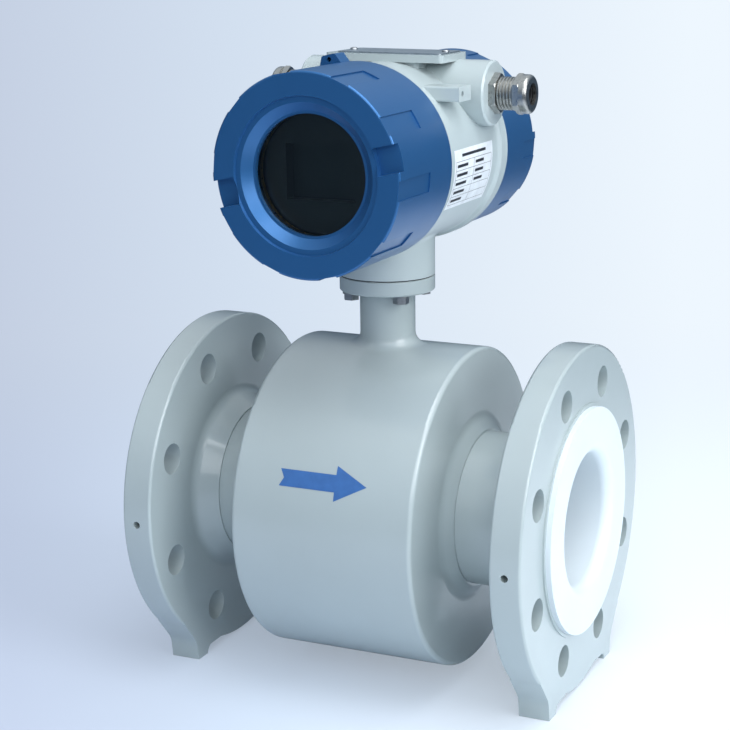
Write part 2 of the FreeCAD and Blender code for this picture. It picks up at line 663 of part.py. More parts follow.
# -------------------------------------------------------------------- covers
cover_bore = D.thread_od + D.thread_play * 2
groove_r = thread_r + D.groove_tall
cover_r = thread_r + D.cover_wall
rear_r = cover_r - D.rear_less
ring_r = cover_r - D.face_ring               # inside of the flat ring of a cover face
rim_r = ring_r - D.step_ring                 # outside of the cone
window_r = rim_r - D.cone_wide - D.window_edge
glass_r = window_r + D.glass_lap


def grips(body, face, radius, inside, length, cut_back):
    """Flat hand recesses round the skirt, and two wrench notches in the face."""
    sk = make_sketch(body, "XZ", -face)
    box_outline(sk, -D.key_wide / 2, radius - D.key_deep, D.key_wide / 2, radius + D.cut_over)
    around(body, extrude(body, sk, length, cut=True, back=cut_back), D.key_count)
    sk = make_sketch(body, "XZ", -face)
    for s in (-1.0, 1.0):
        box_outline(sk, (inside - D.step_slope) * s, -D.notch_wide / 2, (radius + D.cut_over) * s, D.notch_wide / 2)
    extrude(body, sk, D.notch_deep, cut=True, back=cut_back)


skirt = -D.front_shoulder - D.cover_gap      # rear edge of the front cover
face = skirt - D.front_depth                 # its front face
step = face + D.face_step
glass_front = step + D.cone_deep + D.window_lip
glass_back = glass_front + D.glass_thick
seat_end = glass_back + D.retainer_thick
front_cover = make_body("front_cover", HEAD, Vector(0, -1, 0), D.cover_turn)
sk = make_sketch(front_cover, "YZ")
outline(sk, [
    (skirt, groove_r), (skirt, cover_r, D.cover_edge), (face, cover_r, D.cover_chamfer),
    (face, ring_r), (step, ring_r - D.step_slope),
    (step, rim_r), (step + D.cone_deep, window_r + D.window_edge),
    (step + D.cone_deep, window_r), (glass_front, window_r),
    (glass_front, glass_r), (seat_end, glass_r), (seat_end, glass_r + D.seat_wall),
    (face + D.cover_end, glass_r + D.seat_wall),
    (face + D.cover_end, cover_bore / 2), (skirt - D.groove_deep, cover_bore / 2),
    (skirt - D.groove_deep, groove_r)])
revolve(front_cover, sk)
sk = make_sketch(front_cover, "XZ", -skirt)
outline(sk, [
    (-D.tab_base / 2, cover_r - D.key_deep * 1.6), (D.tab_base / 2, cover_r - D.key_deep * 1.6),
    (D.tab_crest / 2, cover_r + D.tab_up, D.cover_chamfer),
    (-D.tab_crest / 2, cover_r + D.tab_up, D.cover_chamfer)])
extrude(front_cover, sk, D.tab_len)
sk = make_sketch(front_cover, "XZ", -skirt + D.tab_len + 1.0)
circle_at(sk, 0, cover_r + D.tab_up / 2, D.tab_hole)
extrude(front_cover, sk, D.tab_len, cut=True)
grips(front_cover, face, cover_r, ring_r, D.key_len, False)

glass = make_body("window_glass", HEAD)
sk = make_sketch(glass, "YZ")
outline(sk, [(glass_front, 0), (glass_front, glass_r), (glass_back, glass_r), (glass_back, 0)])
revolve(glass, sk)
retainer = make_body("window_retainer", HEAD)
sk = make_sketch(retainer, "YZ")
box_outline(sk, glass_back, window_r + D.retainer_lap, seat_end, glass_r)
revolve(retainer, sk)

skirt_rear = D.rear_shoulder + D.cover_gap
face_rear = skirt_rear + D.rear_depth
rear_cover = make_body("rear_cover", HEAD, Vector(0, -1, 0), D.cover_turn)
sk = make_sketch(rear_cover, "YZ")
outline(sk, [
    (skirt_rear, groove_r), (skirt_rear, rear_r, D.cover_edge), (face_rear, rear_r, D.cover_chamfer),
    (face_rear, ring_r), (face_rear - D.face_step, ring_r - D.step_slope),
    (face_rear - D.face_step, 0), (face_rear - D.cover_end, 0),
    (face_rear - D.cover_end, cover_bore / 2), (skirt_rear + D.groove_deep, cover_bore / 2),
    (skirt_rear + D.groove_deep, groove_r)])
revolve(rear_cover, sk)
grips(rear_cover, face_rear, rear_r, ring_r, D.rear_key_len, True)

for label, shoulder, way in (("front_o_ring", -D.front_shoulder, -1.0), ("rear_o_ring", D.rear_shoulder, 1.0)):
    ring = make_body(label, HEAD)
    sk = make_sketch(ring, "YZ")
    circle_at(sk, shoulder + (D.cover_gap + D.groove_deep) / 2 * way,
              thread_r + D.o_ring_play + D.o_ring_cord / 2, D.o_ring_cord)
    revolve(ring, sk)

# ------------------------------------------------------------ inside the head
display_front = seat_end + D.display_room
display_od = (chamber_r - D.display_inset) * 2
display_back = display_front + D.display_thick
main_front = -D.main_board_at
bezel = make_body("display_bezel", HEAD)
sk = make_sketch(bezel, "XZ", -display_back)
circle_at(sk, 0, 0, display_od)
box_outline(sk, -D.screen_wide / 2, -D.screen_tall / 2, D.screen_wide / 2, D.screen_tall / 2)
extrude(bezel, sk, D.display_thick)
lcd = make_body("lcd_panel", HEAD)
sk = make_sketch(lcd, "XZ", -display_back - D.lcd_thick)
box_outline(sk, -D.screen_wide / 2 - D.screen_lap, -D.screen_tall / 2 - D.screen_lap,
            D.screen_wide / 2 + D.screen_lap, D.screen_tall / 2 + D.screen_lap)
extrude(lcd, sk, D.lcd_thick)
board_d = make_body("display_board", HEAD)
board_d_back = display_back + D.lcd_thick + D.board_thick
sk = make_sketch(board_d, "XZ", -board_d_back)
circle_at(sk, 0, 0, display_od)
extrude(board_d, sk, D.board_thick)
board_m = make_body("main_board", HEAD)
sk = make_sketch(board_m, "XZ", -main_front - D.board_thick)
circle_at(sk, 0, 0, (chamber_r - D.board_room) * 2)
extrude(board_m, sk, D.board_thick)
for label, start, stop in (
        ("display_studs", board_d_back, main_front),
        ("board_studs", main_front + D.board_thick, D.divider_at)):
    studs = make_body(label, HEAD)
    sk = make_sketch(studs, "XZ", -stop)
    circle_polar(sk, chamber_r - D.stud_inset, 45.0, D.stud_od)
    around(studs, extrude(studs, sk, stop - start), 4)
power = make_body("power_module", HEAD)
sk = make_sketch(power, "XZ", -main_front)
box_outline(sk, -D.power_wide / 2, -D.power_tall / 2, D.power_wide / 2, D.power_tall / 2, 2.0)
extrude(power, sk, D.power_deep)

terminals = make_body("terminal_block", HEAD)
block_front = D.divider_at + D.divider_thick
sk = make_sketch(terminals, "XZ", -(block_front + D.terminal_deep))
box_outline(sk, -D.terminal_len / 2, -D.terminal_tall / 2, D.terminal_len / 2, D.terminal_tall / 2, 1.5)
extrude(terminals, sk, D.terminal_deep)
clamps = make_body("terminal_screws", HEAD)
sk = make_sketch(clamps, "XZ", -(block_front + D.terminal_deep + D.terminal_screw_high))
first = -D.terminal_pitch * (D.terminal_count - 1) / 2
circle_at(sk, first, 0, D.terminal_screw_od)
screw = extrude(clamps, sk, D.terminal_screw_high)
row = clamps.newObject("PartDesign::LinearPattern", "terminal_screws_row")
row.Originals = [screw]
row.Direction = (sk, ["H_Axis"])
row.Mode = "Spacing"
bind(row, "Offset", D.terminal_pitch)
bind(row, "Occurrences", D.terminal_count)
clamps.Tip = row

# -------------------------------------------------------------- cable glands
hex_end = D.gland_hex
neck_end = hex_end + D.gland_neck_len
nut_start = neck_end + D.nut_gap
collar_at = nut_start + D.gland_nut_hex
nut_end = collar_at + D.gland_collar_len
tube_end = nut_end - D.gland_cap              # end of the threaded tube in the nut
tube_r = D.gland_bore / 2 + D.gland_wall
flat_r = D.gland_af / 2
corner_r = D.gland_af / math.sqrt(3.0)
trim_r = corner_r - D.gland_hex_trim          # the corners are turned down to this
hexagon = [(0, corner_r), (-flat_r, corner_r / 2), (-flat_r, -corner_r / 2),
           (0, -corner_r), (flat_r, -corner_r / 2), (flat_r, corner_r / 2)]


def trim(body, plane, way):
    """Turns a hexagon's corners to a cone of 30 degrees at the given plane."""
    sk = make_sketch(body, "XZ")
    over = (corner_r - trim_r) * 3.0
    outline(sk, [(plane, trim_r - (corner_r - trim_r)), (plane, corner_r + over),
                 (plane - over * way, corner_r + over), (plane - over * 0.6 * way, corner_r)])
    revolve(body, sk, cut=True)


for label, way in (("right", 1.0), ("left", -1.0)):
    seat = (D.entry_reach * way, D.entry_back, head_high + entry_up)
    turn = 0.0 if way > 0 else 180.0

    body = make_body("gland_body_" + label, seat, angle=turn)
    sk = make_sketch(body, "YZ")
    outline(sk, hexagon)
    extrude(body, sk, D.gland_hex)
    trim(body, hex_end, 1.0)
    sk = make_sketch(body, "XZ")
    neck_r = D.gland_neck_od / 2
    profile = [(-D.gland_thread_in, D.gland_bore / 2), (-D.gland_thread_in, D.gland_thread_od / 2),
               (hex_end, D.gland_thread_od / 2)]
    pitch = D.gland_neck_len / D.gland_rings
    for k in range(int(D.gland_rings.value)):
        at = hex_end + pitch * float(k)
        profile += [(at, neck_r - D.gland_rib), (at + pitch * 0.35, neck_r), (at + pitch * 0.8, neck_r)]
    profile += [(neck_end, neck_r - D.gland_rib), (neck_end, tube_r),
                (tube_end, tube_r), (tube_end, D.gland_bore / 2)]
    outline(sk, profile)
    revolve(body, sk)
    sk = make_sketch(body, "XZ")
    box_outline(sk, -D.gland_thread_in - 1.0, 0, nut_end, D.gland_bore / 2)
    revolve(body, sk, cut=True)

    nut = make_body("gland_nut_" + label, seat, angle=turn)
    sk = make_sketch(nut, "YZ", nut_start)
    outline(sk, hexagon)
    extrude(nut, sk, D.gland_nut_hex)
    trim(nut, collar_at, 1.0)
    trim(nut, nut_start, -1.0)
    sk = make_sketch(nut, "XZ")
    outline(sk, [
        (collar_at - D.gland_nut_hex / 2, D.gland_mouth / 2),
        (collar_at - D.gland_nut_hex / 2, flat_r - D.gland_play),
        (collar_at, flat_r - D.gland_play), (collar_at, D.gland_collar_od / 2),
        (nut_end, D.gland_collar_od / 2, D.gland_collar_round), (nut_end, D.gland_mouth / 2)])
    revolve(nut, sk)
    sk = make_sketch(nut, "XZ")
    box_outline(sk, nut_start - 1.0, 0, tube_end + D.seal_room, tube_r + D.gland_play)
    revolve(nut, sk, cut=True)
    sk = make_sketch(nut, "XZ")
    box_outline(sk, nut_start, 0, nut_end + 1.0, D.gland_mouth / 2)
    revolve(nut, sk, cut=True)

    seal = make_body("gland_seal_" + label, seat, angle=turn)
    sk = make_sketch(seal, "XZ")
    box_outline(sk, hex_end, D.seal_id / 2, tube_end, D.gland_bore / 2 - D.seal_gap)
    revolve(seal, sk)

# --------------------------------------------------------- checks and output
doc.recompute()
bodies = [o for o in doc.Objects if o.isDerivedFrom("PartDesign::Body")]
faults = []
for obj in doc.Objects:
    if "Invalid" in obj.State or "Error" in obj.State:
        faults.append("%s: %s" % (obj.Label, ", ".join(obj.State)))
for body in bodies:
    shape = body.Shape
    if shape.isNull() or not shape.isValid() or not shape.Solids:
        faults.append("%s: no valid solid" % body.Label)
if faults:
    raise RuntimeError("; ".join(faults))

os.makedirs("parts", exist_ok=True)
for body in bodies:
    body.Shape.exportStep(os.path.join("parts", body.Label + ".step"))
    print("%-24s %2d solids  %9.2f cm3" % (body.Label, len(body.Shape.Solids), body.Shape.Volume / 1000))
print(len(bodies), "sub-parts")
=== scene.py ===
"""Electromagnetic flow meter: the finishes, the sticker work and the small
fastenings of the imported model, in metres, in the model's own frame.

+X is the direction of flow, -Y is the side that the display faces, +Z is up.
"""

import bmesh
import bpy
import math
from mathutils import Matrix, Vector


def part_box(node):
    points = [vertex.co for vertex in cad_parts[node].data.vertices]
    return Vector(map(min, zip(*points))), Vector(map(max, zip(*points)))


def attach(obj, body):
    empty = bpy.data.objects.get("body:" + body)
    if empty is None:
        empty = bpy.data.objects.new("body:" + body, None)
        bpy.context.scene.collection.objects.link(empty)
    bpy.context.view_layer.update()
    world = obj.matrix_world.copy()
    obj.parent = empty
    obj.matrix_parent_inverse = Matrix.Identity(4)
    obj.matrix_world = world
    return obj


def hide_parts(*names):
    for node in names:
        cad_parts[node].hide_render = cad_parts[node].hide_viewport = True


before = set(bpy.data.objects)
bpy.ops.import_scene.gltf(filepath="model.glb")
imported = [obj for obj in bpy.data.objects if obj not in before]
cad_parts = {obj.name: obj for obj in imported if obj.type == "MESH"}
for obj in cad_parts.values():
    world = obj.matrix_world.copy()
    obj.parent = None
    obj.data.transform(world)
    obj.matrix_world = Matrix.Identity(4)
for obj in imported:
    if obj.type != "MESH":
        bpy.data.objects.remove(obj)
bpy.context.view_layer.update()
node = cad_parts


# ---------------------------------------------------------------- studio
# A pale sweep of paper under and behind the meter, one soft box high on the
# outlet side, one overhead and one in front.  Past the paper the room is dim,
# so the glass and the sides of the glossy covers stay dark in it.
def rgb(red, green, blue):
    """A screen colour, 0 to 255, as the linear colour that a shader takes."""
    values = [c / 255.0 for c in (red, green, blue)]
    linear = [c / 12.92 if c <= 0.04045 else ((c + 0.055) / 1.055) ** 2.4 for c in values]
    return tuple(linear) + (1.0,)


def add_node(tree, kind, inputs=None, **settings):
    """A node with its settings and its input values or links."""
    made = tree.nodes.new(kind)
    for name, value in settings.items():
        setattr(made, name, value)
    for name, value in (inputs or {}).items():
        if isinstance(value, bpy.types.NodeSocket):
            tree.links.new(value, made.inputs[name])
        else:
            made.inputs[name].default_value = value
    return made


def maths(tree, operation, *values):
    """The result of one Math node."""
    made = add_node(tree, "ShaderNodeMath", dict(enumerate(values)), operation=operation)
    return made.outputs[0]


def mapped(tree, value, start, end, low=0.0, high=1.0, curve="LINEAR"):
    """A value from start to end, brought to low to high and held there."""
    made = add_node(tree, "ShaderNodeMapRange",
                    {"Value": value, "From Min": start, "From Max": end, "To Min": low, "To Max": high},
                    interpolation_type=curve)
    return made.outputs["Result"]


def ramp(tree, factor, stops):
    """A colour ramp; stops are (place, colour)."""
    made = add_node(tree, "ShaderNodeValToRGB", {0: factor})
    made.color_ramp.elements[0].position, made.color_ramp.elements[0].color = stops[0]
    made.color_ramp.elements[1].position, made.color_ramp.elements[1].color = stops[-1]
    for place, colour in stops[1:-1]:
        made.color_ramp.elements.new(place).color = colour
    return made.outputs["Color"]


def mixed(tree, factor, first, second):
    """Two shaders, from the first at 0 to the second at 1."""
    return add_node(tree, "ShaderNodeMixShader", {0: factor, 1: first, 2: second}).outputs[0]


def seen_in_gloss_or_glass(tree, path):
    """1 for a ray that a glossy surface or a glass sends on, otherwise 0."""
    return maths(tree, "MAXIMUM", path.outputs["Is Glossy Ray"], path.outputs["Is Transmission Ray"])


scene = bpy.context.scene
scene.view_settings.view_transform = "Standard"

camera_turn = math.radians(23.18)            # from the display side towards the outlet
camera_rise = math.radians(13.60)
camera_roll = math.radians(-0.17)
camera_place = Vector((0.4371, -0.9322, 0.3324))
back = Vector((math.sin(camera_turn) * math.cos(camera_rise),
               -math.cos(camera_turn) * math.cos(camera_rise), math.sin(camera_rise)))
level_right = Vector((0, 0, 1)).cross(back).normalized()
level_up = back.cross(level_right)
right = level_right * math.cos(camera_roll) + level_up * math.sin(camera_roll)
up = level_up * math.cos(camera_roll) - level_right * math.sin(camera_roll)
lens = bpy.data.cameras.new("camera")
lens.sensor_width = 36.0
lens.lens = 89.68
lens.shift_x = -0.114
lens.shift_y = -0.0104
lens.clip_start = 0.05
lens.clip_end = 60.0
camera = bpy.data.objects.new("camera", lens)
camera.matrix_world = Matrix((
    (right.x, up.x, back.x, camera_place.x),
    (right.y, up.y, back.y, camera_place.y),
    (right.z, up.z, back.z, camera_place.z),
    (0, 0, 0, 1)))
scene.collection.objects.link(camera)
scene.camera = camera

# The room's colours run from painted shade on the inlet side to painted light on the outlet side, for the soft box
# that lights the meter from there.
room_left_painted_shade = rgb(196, 207, 226)
room_middle = rgb(211, 224, 240)
room_right_painted_light = rgb(238, 247, 255)
room_edges = (-0.25, 0.13)                   # sines of the bearings where the colours end
room_middle_place = 0.36
room_dim = rgb(74, 92, 112)
room_half_lit = rgb(120, 140, 162)
room_ceiling = rgb(226, 236, 246)
side_way = (math.cos(camera_turn), math.sin(camera_turn), 0.0)
stand_point = (camera_place.x, camera_place.y, 0.0)


def painted_falloff_colour(tree, direction):
    """The paper's colour in a direction from the stand: painted shade, darker and bluer, on the inlet side and
    painted light on the outlet side, where the soft box stands.
    """
    level = add_node(tree, "ShaderNodeVectorMath", {0: direction, 1: (1.0, 1.0, 0.0)}, operation="MULTIPLY")
    flat = add_node(tree, "ShaderNodeVectorMath", {0: level.outputs["Vector"]}, operation="NORMALIZE")
    along = add_node(tree, "ShaderNodeVectorMath", {0: flat.outputs["Vector"], 1: side_way},
                     operation="DOT_PRODUCT")
    place = mapped(tree, along.outputs["Value"], *room_edges)
    return ramp(tree, place, [(0.0, room_left_painted_shade), (room_middle_place, room_middle), (1.0, room_right_painted_light)])


world = bpy.data.worlds.new("room")
scene.world = world
world.use_nodes = True
tree = world.node_tree
tree.nodes.clear()
around = add_node(tree, "ShaderNodeTexCoord").outputs["Generated"]
height = add_node(tree, "ShaderNodeSeparateXYZ", {0: around}).outputs["Z"]
seen = add_node(tree, "ShaderNodeBackground", {"Color": painted_falloff_colour(tree, around), "Strength": 1.0})
mirrored_colour = ramp(tree, mapped(tree, height, 0.05, 0.75),
                       [(0.0, room_dim), (0.35, room_half_lit), (1.0, room_ceiling)])
mirrored = add_node(tree, "ShaderNodeBackground", {"Color": mirrored_colour, "Strength": 1.0})
ambient = add_node(tree, "ShaderNodeBackground", {"Color": rgb(228, 236, 248), "Strength": 0.5})
path = add_node(tree, "ShaderNodeLightPath")
shiny = mixed(tree, seen_in_gloss_or_glass(tree, path), ambient.outputs[0], mirrored.outputs[0])
whole = mixed(tree, path.outputs["Is Camera Ray"], shiny, seen.outputs[0])
add_node(tree, "ShaderNodeOutputWorld", {0: whole})

floor_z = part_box("inlet_flange")[0].z
floor_half = 20.0
floor_mesh = bpy.data.meshes.new("floor")
floor_mesh.from_pydata([(x * floor_half, y * floor_half, floor_z)
                        for x, y in ((-1, -1), (1, -1), (1, 1), (-1, 1))], [], [(0, 1, 2, 3)])
floor = bpy.data.objects.new("floor", floor_mesh)
scene.collection.objects.link(floor)
paper = bpy.data.materials.new("white_paper")
paper.use_nodes = True
tree = paper.node_tree
tree.nodes.clear()
place = add_node(tree, "ShaderNodeTexCoord").outputs["Object"]
from_stand = add_node(tree, "ShaderNodeVectorMath", {0: place, 1: stand_point}, operation="SUBTRACT")
# The floor's own colour carries the same painted shade on the inlet side and painted light on the outlet side.
paper_falloff_colour = painted_falloff_colour(tree, from_stand.outputs["Vector"])
sheet = add_node(tree, "ShaderNodeBsdfDiffuse", {"Color": paper_falloff_colour})
# To the camera the floor partly glows in its own colour, 45 percent near the meter rising to all of it far off:
# painted light that lightens the meter's shadow on the paper.
paper_glow = add_node(tree, "ShaderNodeEmission", {"Color": paper_falloff_colour, "Strength": 1.0})
dim = add_node(tree, "ShaderNodeEmission", {"Color": room_dim, "Strength": 1.0})
reach = add_node(tree, "ShaderNodeVectorMath", {0: place}, operation="LENGTH").outputs["Value"]
path = add_node(tree, "ShaderNodeLightPath")
glow_share = mapped(tree, reach, 0.3, 1.0, 0.45, 1.0, "SMOOTHSTEP")
glow_seen = maths(tree, "MULTIPLY", glow_share, path.outputs["Is Camera Ray"])
ground = mixed(tree, glow_seen, sheet.outputs[0], paper_glow.outputs[0])
away = mapped(tree, reach, 0.35, 0.95, curve="SMOOTHSTEP")
away_seen = maths(tree, "MULTIPLY", away, seen_in_gloss_or_glass(tree, path))
add_node(tree, "ShaderNodeOutputMaterial", {0: mixed(tree, away_seen, ground, dim.outputs[0])})
floor_mesh.materials.append(paper)

aim = Vector((0, 0, (floor_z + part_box("converter_housing")[1].z) / 2))
for name, place, size, power, tint in (
        ("outlet_box", (1.5, -0.5, 0.85), 1.0, 20.0, rgb(250, 252, 255)),
        ("top_box", (0.6, -0.3, 1.9), 1.4, 28.0, rgb(248, 251, 255)),
        ("front_box", (0.5, -1.8, 1.1), 1.2, 12.0, rgb(250, 252, 255))):
    light = bpy.data.lights.new(name, "AREA")
    light.shape = "SQUARE"
    light.size = size
    light.energy = power
    light.color = tint[:3]
    lamp = bpy.data.objects.new(name, light)
    lamp.location = place
    lamp.rotation_euler = (Vector(place) - aim).to_track_quat("Z", "Y").to_euler()
    scene.collection.objects.link(lamp)


# --------------------------------------------------- painted steel pipe work
# The tube, the two flanges and the coil housing are welded steel under one
# coat of glossy grey-green paint.  Sprayed paint has a faint orange peel, and
# its tone and gloss drift a little over a large face.
def new_finish(name):
    """A material with its tree, its shader and its Object coordinates."""
    made = bpy.data.materials.new(name)
    made.use_nodes = True
    tree = made.node_tree
    return made, tree, tree.nodes["Principled BSDF"], add_node(tree, "ShaderNodeTexCoord").outputs["Object"]


def noise(tree, place, scale, detail):
    """A noise over the piece, scale waves to the metre."""
    made = add_node(tree, "ShaderNodeTexNoise", {"Vector": place, "Scale": scale, "Detail": detail})
    return made.outputs["Fac"]


def shade(colour, factor):
    """The same colour, lighter or darker."""
    return tuple(min(1.0, c * factor) for c in colour[:3]) + (1.0,)


def raise_surface(tree, shader, height):
    """Bumps the shader by a height in metres."""
    bump = add_node(tree, "ShaderNodeBump", {"Height": height, "Distance": 1.0, "Strength": 1.0})
    tree.links.new(bump.outputs["Normal"], shader.inputs["Normal"])


def sprayed_paint(name, colour, roughness, peel, cloudy, cast=0.0, coat=0.6, coat_roughness=0.08):
    """Gloss paint; peel and cast are the heights of its ripple and grain."""
    made, tree, shader, place = new_finish(name)
    cloud = noise(tree, place, 14.0, 3.0)
    tint = ramp(tree, cloud, [(0.3, shade(colour, 1 - cloudy)), (0.7, shade(colour, 1 + cloudy))])
    tree.links.new(tint, shader.inputs["Base Color"])
    gloss = mapped(tree, noise(tree, place, 60.0, 2.0), 0.3, 0.7,
                   roughness * (1 - 2 * cloudy), roughness * (1 + 2 * cloudy))
    tree.links.new(gloss, shader.inputs["Roughness"])
    waves = maths(tree, "MULTIPLY", noise(tree, place, 420.0, 1.0), peel)
    grains = maths(tree, "MULTIPLY", noise(tree, place, 1500.0, 2.0), cast)
    raise_surface(tree, shader, maths(tree, "ADD", waves, grains))
    shader.inputs["Coat Weight"].default_value = coat
    shader.inputs["Coat Roughness"].default_value = coat_roughness
    return made


def dress(material, *names):
    """Gives carried-over nodes their finish."""
    for name in names:
        mesh = node[name].data
        mesh.materials.clear()
        mesh.materials.append(material)


grey_paint = sprayed_paint("grey_paint", rgb(163, 175, 176), 0.34, 1.2e-5, 0.03)
dress(grey_paint, "measuring_tube", "inlet_flange", "outlet_flange", "coil_housing")

# ------------------------------------------------------------- white liner
# The liner is white fluoropolymer, turned out over both flange faces; it is
# dense, waxy and slightly see-through at its thin edge.
liner_white, tree, shader, place = new_finish("liner_white")
tint = ramp(tree, noise(tree, place, 30.0, 3.0), [(0.3, rgb(208, 217, 222)), (0.7, rgb(213, 222, 226))])
tree.links.new(tint, shader.inputs["Base Color"])
shader.inputs["Roughness"].default_value = 0.42
shader.inputs["Subsurface Weight"].default_value = 0.25
shader.inputs["Subsurface Radius"].default_value = (0.002, 0.002, 0.002)
dress(liner_white, "liner")


# --------------------------------------------------- coils and electrodes
# Inside the housing two lacquered copper coils sit on soft iron poles in an
# iron yoke.  Two stainless electrodes pass through white insulating bushes
# and are drawn tight by stainless nuts.
def metal(name, colour, roughness):
    """Bare metal with a fine grain in its tone, its gloss and its surface."""
    made, tree, shader, place = new_finish(name)
    shader.inputs["Metallic"].default_value = 1.0
    grain = noise(tree, place, 600.0, 3.0)
    tree.links.new(ramp(tree, grain, [(0.3, shade(colour, 0.82)), (0.7, colour)]), shader.inputs["Base Color"])
    tree.links.new(mapped(tree, grain, 0.0, 1.0, roughness * 0.7, roughness * 1.3), shader.inputs["Roughness"])
    raise_surface(tree, shader, maths(tree, "MULTIPLY", grain, 2.0e-6))
    return made


def plain(name, colour, roughness, bumpy=0.0):
    """A moulded or printed surface; bumpy is the height of its grain."""
    made, tree, shader, place = new_finish(name)
    grain = noise(tree, place, 200.0, 3.0)
    tree.links.new(ramp(tree, grain, [(0.3, shade(colour, 0.85)), (0.7, colour)]), shader.inputs["Base Color"])
    shader.inputs["Roughness"].default_value = roughness
    raise_surface(tree, shader, maths(tree, "MULTIPLY", grain, bumpy))
    return made


dress(metal("soft_iron", rgb(110, 110, 112), 0.5),
      "pole_shoe_upper", "pole_shoe_lower", "pole_core_upper", "pole_core_lower", "yoke_ring")
dress(metal("lacquered_copper", rgb(168, 92, 50), 0.35), "coil_upper", "coil_lower")
stainless = metal("stainless", rgb(176, 178, 180), 0.34)
dress(stainless, "electrode_front", "electrode_rear", "electrode_nut_front", "electrode_nut_rear")
dress(plain("bush_white", rgb(226, 226, 220), 0.5), "electrode_bush_front", "electrode_bush_rear")

# ---------------------------------------------------------- flow arrow
# A blue vinyl arrow stuck on the front of the coil housing, pointing the way
# of the flow, with a notched tail.  It is cut flat and bends with the drum.
drum_r = -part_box("coil_housing")[0].y
arrow_skin = 0.00012
arrow_r = drum_r + arrow_skin
arrow_length, shaft_wide, head_wide, head_long, notch = 0.0530, 0.0096, 0.0198, 0.0190, 0.0026
arrow_up = 0.033                             # above the drum's axis
arrow_mid = math.asin(arrow_up / drum_r) * drum_r
tail = -0.0260
tip = tail + arrow_length
neck = tip - head_long
bend_step = 0.002                            # the arc between two creases
arrow_outline = [
    (tail, arrow_mid + shaft_wide / 2), (tail + notch, arrow_mid), (tail, arrow_mid - shaft_wide / 2),
    (neck, arrow_mid - shaft_wide / 2), (neck, arrow_mid - head_wide / 2), (tip, arrow_mid),
    (neck, arrow_mid + head_wide / 2), (neck, arrow_mid + shaft_wide / 2)]
film = bmesh.new()
film.faces.new([film.verts.new((length, arc, 0.0)) for length, arc in arrow_outline])
arc_low = arrow_mid - head_wide / 2
for k in range(1, int(head_wide / bend_step) + 1):
    bmesh.ops.bisect_plane(film, geom=film.verts[:] + film.edges[:] + film.faces[:],
                           plane_co=(0, arc_low + k * bend_step, 0), plane_no=(0, 1, 0))
for v in film.verts:
    turn = v.co.y / arrow_r
    v.co = Vector((v.co.x, -arrow_r * math.cos(turn), arrow_r * math.sin(turn)))
bmesh.ops.recalc_face_normals(film, faces=film.faces)
first_face = film.faces[:][0]
if first_face.normal.dot(first_face.calc_center_median() * Vector((0, 1, 1))) < 0:
    bmesh.ops.reverse_faces(film, faces=film.faces)
arrow_mesh = bpy.data.meshes.new("flow_arrow")
film.to_mesh(arrow_mesh)
film.free()
arrow_mesh.materials.append(plain("blue_vinyl", rgb(58, 104, 164), 0.35))
flow_arrow = bpy.data.objects.new("flow_arrow", arrow_mesh)
scene.collection.objects.link(flow_arrow)
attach(flow_arrow, "meter")

# --------------------------------------------------------- neck flange
# Four stainless screws draw the head down on the neck, with a flat rubber
# gasket between the two machined faces.
rubber = plain("black_rubber", rgb(22, 22, 23), 0.7, 1e-5)
dress(stainless, "neck_bolts")
dress(rubber, "neck_gasket")

# ------------------------------------------------------- converter head
# The head is a die casting in the same grey, with a finer grain.  Its two
# spigots are turned bare and threaded after casting, so the paint stops at
# their shoulders and a fine helix runs round them.
cast_grey = sprayed_paint("cast_grey", rgb(170, 182, 183), 0.38, 1.0e-5, 0.02, cast=2.0e-6, coat=0.4)
thread_pitch = 0.002
thread_depth = 0.0006
paint_run_out = 0.0004                       # how far paint reaches past a shoulder
bare_grey = rgb(150, 154, 156)
head_axis_z = (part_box("rear_cover")[0].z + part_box("rear_cover")[1].z) / 2
front_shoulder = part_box("front_cover")[1].y
rear_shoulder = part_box("rear_cover")[0].y
tree = cast_grey.node_tree
shader = tree.nodes["Principled BSDF"]
place = add_node(tree, "ShaderNodeTexCoord").outputs["Object"]
split = add_node(tree, "ShaderNodeSeparateXYZ", {0: place})
turned = maths(tree, "MAXIMUM",
               maths(tree, "LESS_THAN", split.outputs["Y"], front_shoulder - paint_run_out),
               maths(tree, "GREATER_THAN", split.outputs["Y"], rear_shoulder + paint_run_out))
angle = maths(tree, "ARCTAN2", maths(tree, "SUBTRACT", split.outputs["Z"], head_axis_z), split.outputs["X"])
helix = maths(tree, "ADD", maths(tree, "DIVIDE", split.outputs["Y"], thread_pitch),
              maths(tree, "DIVIDE", angle, 2 * math.pi))
ridge = maths(tree, "MULTIPLY", maths(tree, "PINGPONG", helix, 1.0), thread_depth)
threaded = add_node(tree, "ShaderNodeBump", {
    "Height": maths(tree, "MULTIPLY", ridge, turned), "Distance": 1.0,
    "Normal": shader.inputs["Normal"].links[0].from_socket})
tree.links.new(threaded.outputs["Normal"], shader.inputs["Normal"])
bare = add_node(tree, "ShaderNodeMix", {
    "Factor": turned, 6: shader.inputs["Base Color"].links[0].from_socket, 7: bare_grey}, data_type="RGBA")
tree.links.new(bare.outputs[2], shader.inputs["Base Color"])
tree.links.new(turned, shader.inputs["Metallic"])
dress(cast_grey, "converter_housing")

# -------------------------------------------------------- screwed covers
# Both covers are cast and finished in a dark metallic blue with a satin
# lacquer; each seals on a black O-ring at its shoulder.
cover_blue = sprayed_paint("cover_blue", rgb(42, 98, 151), 0.40, 0.5e-5, 0.015,
                           cast=1.0e-6, coat=0.5, coat_roughness=0.3)
shader = cover_blue.node_tree.nodes["Principled BSDF"]
shader.inputs["Metallic"].default_value = 0.6
shader.inputs["Specular IOR Level"].default_value = 0.2
dress(cover_blue, "front_cover", "rear_cover")
dress(rubber, "front_o_ring", "rear_o_ring")

